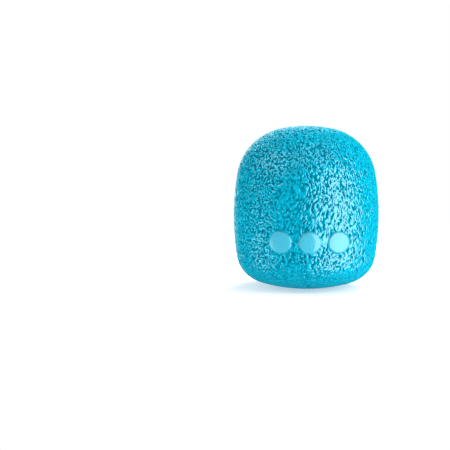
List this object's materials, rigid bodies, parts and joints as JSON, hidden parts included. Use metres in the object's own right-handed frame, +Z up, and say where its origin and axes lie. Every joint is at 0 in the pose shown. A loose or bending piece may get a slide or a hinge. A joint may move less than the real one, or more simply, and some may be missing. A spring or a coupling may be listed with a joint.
{
  "type": "hand grip strengthener",
  "caption": "Egg-shaped squeeze grip of clear blue gel with a pebbled skin, for strengthening the hand and fingers.",
  "frame": {"origin": "centre of the flat foot that the grip stands on", "axes": "+Z up the barrel's axis; -Y is the front with the raised marks, under the thumb; +X is to the right seen from the front"},
  "size_m": [0.0542, 0.0545, 0.0602],
  "materials": {
    "blue_gel": "gloss"
  },
  "bodies": {
    "finger_side": {"back_half": "blue_gel"},
    "thumb_side": {"front_half": "blue_gel"}
  },
  "joints": [
    {"name": "squeeze", "type": "slide", "parent": "finger_side", "child": "thumb_side", "axis": [0, 1, 0], "range_m": [0, 0.018], "stiffness_N_per_m": 1500, "deforming": ["front_half"]}
  ]
}
